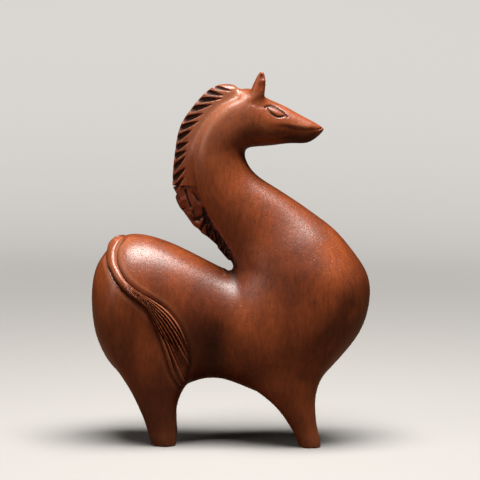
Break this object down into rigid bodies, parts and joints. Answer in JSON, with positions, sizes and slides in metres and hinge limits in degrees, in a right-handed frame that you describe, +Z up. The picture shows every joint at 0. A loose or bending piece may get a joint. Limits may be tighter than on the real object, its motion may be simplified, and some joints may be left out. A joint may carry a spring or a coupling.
{
  "type": "carved wooden horse figure",
  "caption": "Stylised standing horse carved in dark polished hardwood, with a swan-like neck, a comb-cut mane, upright ears and a strap tail fanning out over one haunch.",
  "frame": {"origin": "on the ground, below the centre of the bounding box", "axes": "+Z up, +X from the tail towards the nose, +Y towards the horse's left side"},
  "size_m": [0.1873, 0.0744, 0.2503],
  "materials": {
    "wood": "satin",
    "cut_wood": "satin",
    "dowel_wood": "matt"
  },
  "bodies": {
    "root": {"right_half": "wood", "left_half": "wood", "right_ear": "wood", "left_ear": "wood", "upper_mane": "wood", "lower_mane": "cut_wood", "tail": "wood", "locating_dowels": "dowel_wood"}
  },
  "joints": []
}
